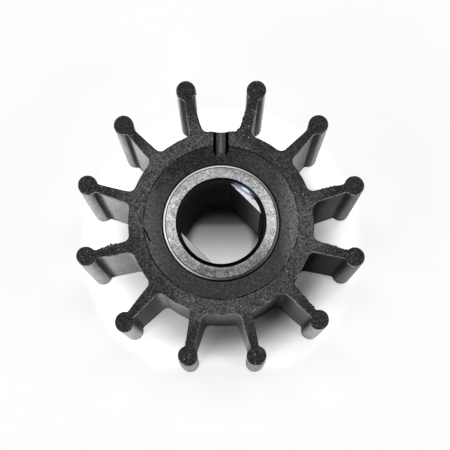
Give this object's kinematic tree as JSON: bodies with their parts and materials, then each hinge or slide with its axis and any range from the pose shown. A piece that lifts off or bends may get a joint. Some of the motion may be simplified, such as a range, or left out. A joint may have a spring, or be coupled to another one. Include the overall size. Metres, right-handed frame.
{
  "type": "rubber pump impeller",
  "caption": "Flexible-vane pump impeller: rubber hub with beaded radial vanes, moulded round a metal insert with a double-D bore.",
  "frame": {"origin": "on the shaft axis, in the lower end face of the rubber", "axes": "+Z along the shaft axis towards the end face with the rim groove; +Y through that groove; +X midway between two vanes"},
  "size_m": [0.0554, 0.0554, 0.0318],
  "materials": {
    "rubber": "matte black moulded rubber, fine grain on the end faces, smoother flanks",
    "insert_metal": "dull silver end face with fine stains, smooth dark bore"
  },
  "bodies": {
    "root": {"rubber_body": "rubber", "drive_insert": "insert_metal"}
  },
  "joints": []
}
